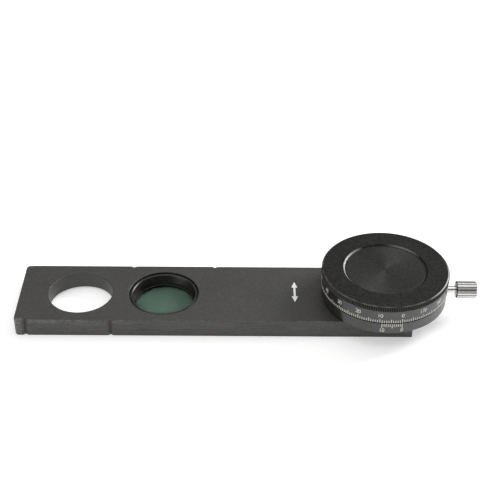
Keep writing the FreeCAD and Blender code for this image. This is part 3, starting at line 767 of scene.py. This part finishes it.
def scale_line(radius, angle, low, high):
    """One painted line on the front of a ring, this many degrees to the right of the middle."""
    bpy.ops.object.select_all(action="DESELECT")
    bpy.ops.mesh.primitive_cube_add(size=1)
    line = bpy.context.object
    line.scale = (line_width, line_buried + line_proud, high - low)
    line.location = (0, -radius + (line_buried - line_proud) / 2, (low + high) / 2)
    bpy.ops.object.transform_apply(location=True, rotation=True, scale=True)
    line.rotation_euler.z = math.radians(angle)
    bpy.ops.object.transform_apply(location=True, rotation=True, scale=True)
    return line


def scale_number(number, radius, angle, low):
    """A plain number on the front of a ring; each digit faces straight outwards."""
    digits = []
    for place, digit in enumerate(str(number)):
        bpy.ops.object.select_all(action="DESELECT")
        bpy.ops.object.text_add()
        mark = bpy.context.object
        mark.data.body = digit
        mark.data.align_x = "CENTER"
        mark.data.size = numeral_height / digit_share_of_font
        mark.data.extrude = (line_buried + line_proud) / 2
        mark.data.offset = numeral_weight
        mark.data.resolution_u = 4
        bpy.ops.object.convert(target="MESH")
        mark = bpy.context.object
        mark.rotation_euler.x = math.pi / 2
        mark.location = (0, -radius + (line_buried - line_proud) / 2, low)
        bpy.ops.object.transform_apply(location=True, rotation=True, scale=True)
        shift = (place - (len(str(number)) - 1) / 2) * numeral_pitch / radius
        mark.rotation_euler.z = math.radians(angle) + shift
        bpy.ops.object.transform_apply(location=True, rotation=True, scale=True)
        digits.append(mark)
    return digits


def join_marks(marks, name, body, material):
    """Makes one piece of many painted marks."""
    only(marks[0])
    for mark in marks:
        mark.select_set(True)
    bpy.ops.object.join()
    finish_piece(marks[0], name, body, material)


cream_paint = mottled("cream_paint", 0.6, 0.3 * mm, (0.66, 0.64, 0.56), (0.92, 0.90, 0.82), 0.01 * mm)
vernier_zero_angle = 11.0
vernier_step = 1.8
vernier_divisions = 10
vernier_gap = 0.05 * mm
vernier_top = rebate_low - vernier_gap
vernier_short = 9.15 * mm
vernier_long = 8.6 * mm
vernier_number_low = 7.1 * mm
vernier_marks = []
for division in range(vernier_divisions + 1):
    line_low = vernier_long if division % long_line_every == 0 else vernier_short
    vernier_marks.append(scale_line(base_radius, vernier_zero_angle - division * vernier_step,
                                    line_low, vernier_top))
for number in (0, vernier_divisions):
    vernier_marks += scale_number(number, base_radius, vernier_zero_angle - number * vernier_step,
                                  vernier_number_low)
join_marks(vernier_marks, "vernier_marks", "slider", cream_paint)


# Spindle and its bearing.
# The dial sits on a ground steel spindle that runs in a brass bush. A wave washer gives the
# turn a smooth drag, and a spring clip keeps the spindle in. All of it is hidden.
spring_steel = mottled("spring_steel", 0.3, 0.9 * mm, (0.33, 0.33, 0.37), (0.50, 0.48, 0.46), 0.003 * mm,
                       metallic=1.0)
dress("spindle_bush", brass)
dress("spindle", steel)
dress("wave_washer", spring_steel)
dress("spindle_clip", spring_steel)
dress("dial_screw", black_screw)


# Dial.
# The hand dial is turned from one piece: a plate with a knurled rim, a dished top, a skirt inside
# the scale ring and a hub in the base. It is anodised black and worn by fingers, with painted shade in
# its knurl and painted highlights on its edge and recess wall.
dial_low, dial_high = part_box("dial_wheel")
scale_low, scale_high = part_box("scale_ring")
face_low, face_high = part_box("dial_face_disc")
dial_radius = (dial_high.y - dial_low.y) / 2
scale_radius = (scale_high.y - scale_low.y) / 2
knurl_depth = 0.3 * mm
knurl_grooves = 180
knurl_tolerance = 0.05 * mm
rim_break = 0.25 * mm
rim_bevel = 0.12 * mm
rim_round = 0.2 * mm
scale_wall = 2 * mm
skirt_wall = 2 * mm
skirt_outer = scale_radius - scale_wall
skirt_inner = skirt_outer - skirt_wall
dial_hub_radius = 8.9 * mm
dial_plate = 2.2 * mm
recess_radius = 13.9 * mm
recess_slope = 0.36 * mm
recess_lip = 0.05 * mm
recess_fillet = 0.06 * mm
spindle_radius = 2.0 * mm
screw_room_radius = 2.5 * mm
screw_room_depth = 1.4 * mm
face_radius = (face_high.y - face_low.y) / 2
plate_bottom = face_low.z - dial_plate
land = dial_radius - knurl_depth
screw_seat = face_low.z - screw_room_depth
dial_section = [(spindle_radius, dial_low.z), (dial_hub_radius, dial_low.z), (dial_hub_radius, plate_bottom),
                (skirt_inner, plate_bottom), (skirt_inner, scale_low.z), (skirt_outer, scale_low.z),
                (skirt_outer, scale_high.z), (dial_radius, scale_high.z),
                (dial_radius, dial_high.z - rim_break), (land, dial_high.z - rim_bevel),
                (land - rim_round, dial_high.z), (recess_radius + rim_bevel, dial_high.z),
                (recess_radius, dial_high.z - recess_lip),
                (recess_radius - 0.85 * recess_slope, face_high.z + recess_fillet),
                (recess_radius - 1.15 * recess_slope, face_high.z),
                (face_radius, face_high.z), (face_radius, face_low.z), (screw_room_radius, face_low.z),
                (screw_room_radius, screw_seat), (spindle_radius, screw_seat)]
dial = turn_ring(dial_section, sides=2 * knurl_grooves)


def in_knurl_valley(vert):
    """Every other corner of the rim."""
    reach = math.hypot(vert.co.x, vert.co.y)
    step = round(math.degrees(math.atan2(vert.co.y, vert.co.x)) * knurl_grooves / 180)
    return reach > dial_radius - knurl_tolerance and step % 2 == 1


edit(dial, "VERT", in_knurl_valley)
bpy.ops.transform.resize(value=(land / dial_radius, land / dial_radius, 1), center_override=(0, 0, 0))
bpy.ops.object.mode_set(mode="OBJECT")


def towards(angle, direction, width):
    """1 in this direction round the axis, falling off to both sides."""
    return near(calculate("COSINE", calculate("SUBTRACT", angle, direction)), 1, width)


def worn_dial_black():
    """The dial's black: pale ridges on the knurl with painted shade between them, grey where fingers rub
    its edge, and painted highlights: a bright line on the edge and pale bare metal on the recess's wall."""
    finish, shader, place, reach, angle = turned_black("worn_dial_black", 0.45, 0.2 * mm, 0.2)
    height = along(place, "Z")
    # Painted light and shade on the knurl: its ridges are painted pale against darker valleys, partly as
    # worn ridges.
    ridges = spread(calculate("COSINE", calculate("MULTIPLY", angle, knurl_grooves)), 0, 1, -0.2, 0.9)
    on_rim = spread(reach, 0, 1, land - 0.1 * mm, land)
    below_edge = spread(height, 1, 0, dial_high.z - rim_break, dial_high.z)
    paint_over(shader, both(ridges, on_rim, below_edge), (0.06, 0.058, 0.052))
    patches = grain(place, 2.2 * mm, 4, 0.7)
    edge_band_width = 0.35 * mm
    edge = both(near(reach, land, edge_band_width), near(height, dial_high.z, edge_band_width))
    # Grey rubbed patches along the rim's top edge, lightened to serve as a painted highlight as well.
    paint_over(shader, both(edge, spread(patches, 0.1, 0.9, 0.4, 0.6)), (0.24, 0.235, 0.215))
    # A painted highlight: a bright line on the rim's top edge towards the right front.
    paint_over(shader, both(edge, towards(angle, -0.4, 0.15)), (0.75, 0.74, 0.7))
    # A painted highlight: the recess's wall is painted pale bare metal on the left, and faintly on the back
    # right, where the lamps glint.
    wall = near(reach, recess_radius - 0.4 * recess_slope, 0.9 * recess_slope)
    left_and_back = calculate("MAXIMUM", towards(angle, 2.95, 0.35), both(towards(angle, 1.0, 0.12), 0.35))
    painted_glint = both(wall, left_and_back, spread(patches, 0.7, 1))
    paint_over(shader, painted_glint, (0.8, 0.79, 0.76))
    wire(painted_glint, shader.inputs["Metallic"])
    return finish


finish_piece(dial, "dial", "dial", worn_dial_black())
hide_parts("dial_wheel")


# Dial face.
# A thin disc, faced on the lathe in rings, covers the dial's screw. Its rings pull the light
# into a fan from the middle to the front.
face_edge = 0.06 * mm
face_gap = 0.02 * mm
bpy.ops.object.select_all(action="DESELECT")
bpy.ops.mesh.primitive_cylinder_add(vertices=lathe_sides, radius=face_radius - face_gap,
                                    depth=face_high.z - face_low.z,
                                    location=(0, 0, (face_high.z + face_low.z) / 2))
face_disc = bpy.context.object
round_edges(face_disc, face_edge, 2)


def faced_black():
    """Black over lathe rings: they stretch the lights' reflections across themselves."""
    finish, shader, place = turned_black("faced_black", 0.43, 0.1 * mm, 0.42)[:3]
    shader.inputs["Anisotropic"].default_value = 0.6
    tangent = place.id_data.nodes.new("ShaderNodeTangent")
    tangent.direction_type = "RADIAL"
    tangent.axis = "Z"
    wire(tangent.outputs[0], shader.inputs["Tangent"])
    return finish


finish_piece(face_disc, "face_disc", "dial", faced_black())
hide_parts("dial_face_disc")


# Scale ring.
# A black ring pressed on the dial's skirt. Its scale is engraved and filled with paint: one
# turn is 180 units, with a longer line at each fifth and a number at each tenth.
scale_zero_angle = 10.8
scale_units = 180
unit_angle = 360 / scale_units
unit_line = 1.1 * mm
long_line = 1.55 * mm
line_gap = 0.1 * mm
number_low = 13.05 * mm
band_edge = 0.08 * mm
band = turn_ring([(skirt_outer, scale_low.z), (scale_radius, scale_low.z),
                  (scale_radius, scale_high.z), (skirt_outer, scale_high.z)], sides=fine_sides)
round_edges(band, band_edge, 1)
finish_piece(band, "scale_band", "dial", black_side)
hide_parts("scale_ring")
scale_marks = []
for unit in range(scale_units):
    line_high = scale_low.z + (long_line if unit % long_line_every == 0 else unit_line)
    scale_marks.append(scale_line(scale_radius, scale_zero_angle - unit * unit_angle,
                                  scale_low.z + line_gap, line_high))
for number in range(0, scale_units, number_every):
    scale_marks += scale_number(number, scale_radius, scale_zero_angle - number * unit_angle, number_low)
join_marks(scale_marks, "scale_marks", "dial", cream_paint)


# Lock screw.
# A bright nickelled thumbscrew with a coarse straight knurl. It goes through the base and
# presses a brass pad on the dial's hub.
lock_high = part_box("lock_screw")[1]
pad_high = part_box("clamp_pad")[1]
lock_head_radius = 2.85 * mm
lock_shank_radius = 1.18 * mm
lock_head_length = 6.95 * mm
lock_head_break = 0.3 * mm
lock_ridges = 18
lock_ridge_depth = 0.3 * mm
sides_per_ridge = 6
lock_end_ring = 0.6 * lock_head_radius
lock_head_start = lock_high.x - lock_head_length


def bright_nickel():
    """Nickel plate, duller on the head, with dirt and painted shade in the knurl's hollows and painted shade
    on the head's inner end.
    """
    finish, shader, place = new_finish("bright_nickel", 0.2, 1.0)
    haze = grain(place, 0.4 * mm, 3, 0.6)
    tint(shader, spread(haze, 0, 1), (0.62, 0.61, 0.59), (0.76, 0.75, 0.73))
    x_place, across = along(place, "X"), along(place, "Y")
    up = calculate("SUBTRACT", along(place, "Z"), lock_z)
    reach = calculate("SQRT", calculate("ADD", both(across, across), both(up, up)))
    # Dirt and painted shade in the knurl's hollows: darker between the ridges.
    middle_of_valley = math.pi / lock_ridges / sides_per_ridge
    past_valley = calculate("SUBTRACT", calculate("ARCTAN2", across, up), middle_of_valley)
    waves = calculate("COSINE", calculate("MULTIPLY", past_valley, lock_ridges))
    on_ridges = spread(reach, 0, 1, lock_head_radius - 1.8 * lock_ridge_depth,
                       lock_head_radius - 1.2 * lock_ridge_depth)
    paint_over(shader, both(spread(waves, 0, 0.8, 0.1, 0.6), on_ridges), (0.2, 0.195, 0.18))
    # Painted shade: the head's inner end face, towards the base ring, is painted near black.
    off_shank = spread(reach, 0, 1, lock_shank_radius, lock_shank_radius + 0.1 * mm)
    inner_end = spread(x_place, 1, 0, lock_head_start + 0.8 * lock_head_break,
                       lock_head_start + 1.4 * lock_head_break)
    paint_over(shader, both(off_shank, inner_end), (0.03, 0.03, 0.032))
    dull = spread(x_place, 0, 0.18, lock_head_start, lock_head_start + 0.1 * mm)
    wire(calculate("ADD", spread(haze, 0.14, 0.24), dull), shader.inputs["Roughness"])
    relief(shader, grain(place, 0.12 * mm), 0.003 * mm, 0.4)
    return finish


def draw_out(stations, sides):
    """Draws a solid round bar out along X from its first (radius, x) station to its last."""
    bpy.ops.object.select_all(action="DESELECT")
    radius, x = stations[0]
    bpy.ops.mesh.primitive_circle_add(vertices=sides, radius=radius, fill_type="NGON",
                                      rotation=(0, math.pi / 2, 0), location=(x, 0, lock_z))
    piece = bpy.context.object
    bpy.ops.object.transform_apply(location=True, rotation=True, scale=True)
    edit(piece, "FACE", lambda face: True)
    for next_radius, next_x in stations[1:]:
        bpy.ops.mesh.extrude_region_move(TRANSFORM_OT_translate={"value": (next_x - x, 0, 0)})
        factor = next_radius / radius
        bpy.ops.transform.resize(value=(1, factor, factor), center_override=(0, 0, lock_z))
        radius, x = next_radius, next_x
    bpy.ops.mesh.select_all(action="SELECT")
    bpy.ops.mesh.normals_make_consistent(inside=False)
    bpy.ops.object.mode_set(mode="OBJECT")
    return piece


lock_screw = draw_out([(lock_shank_radius, pad_high.x), (lock_shank_radius, lock_head_start),
                       (lock_head_radius - lock_head_break, lock_head_start),
                       (lock_head_radius, lock_head_start + lock_head_break),
                       (lock_head_radius, lock_high.x - lock_head_break),
                       (lock_head_radius - lock_head_break, lock_high.x),
                       (lock_end_ring, lock_high.x)], lock_ridges * sides_per_ridge)


def in_lock_valley(vert):
    """Two of every six corners round the head, where the knurling tool pressed in."""
    across, up = vert.co.y, vert.co.z - lock_z
    step = round(math.degrees(math.atan2(across, up)) / 360 * lock_ridges * sides_per_ridge)
    return math.hypot(across, up) > lock_head_radius - knurl_tolerance and step % sides_per_ridge < 2


edit(lock_screw, "VERT", in_lock_valley)
valley = 1 - lock_ridge_depth / lock_head_radius
bpy.ops.transform.resize(value=(1, valley, valley), center_override=(0, 0, lock_z))
bpy.ops.object.mode_set(mode="OBJECT")
finish_piece(lock_screw, "thumbscrew", "lock_screw", bright_nickel())
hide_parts("lock_screw")
dress("clamp_pad", brass)
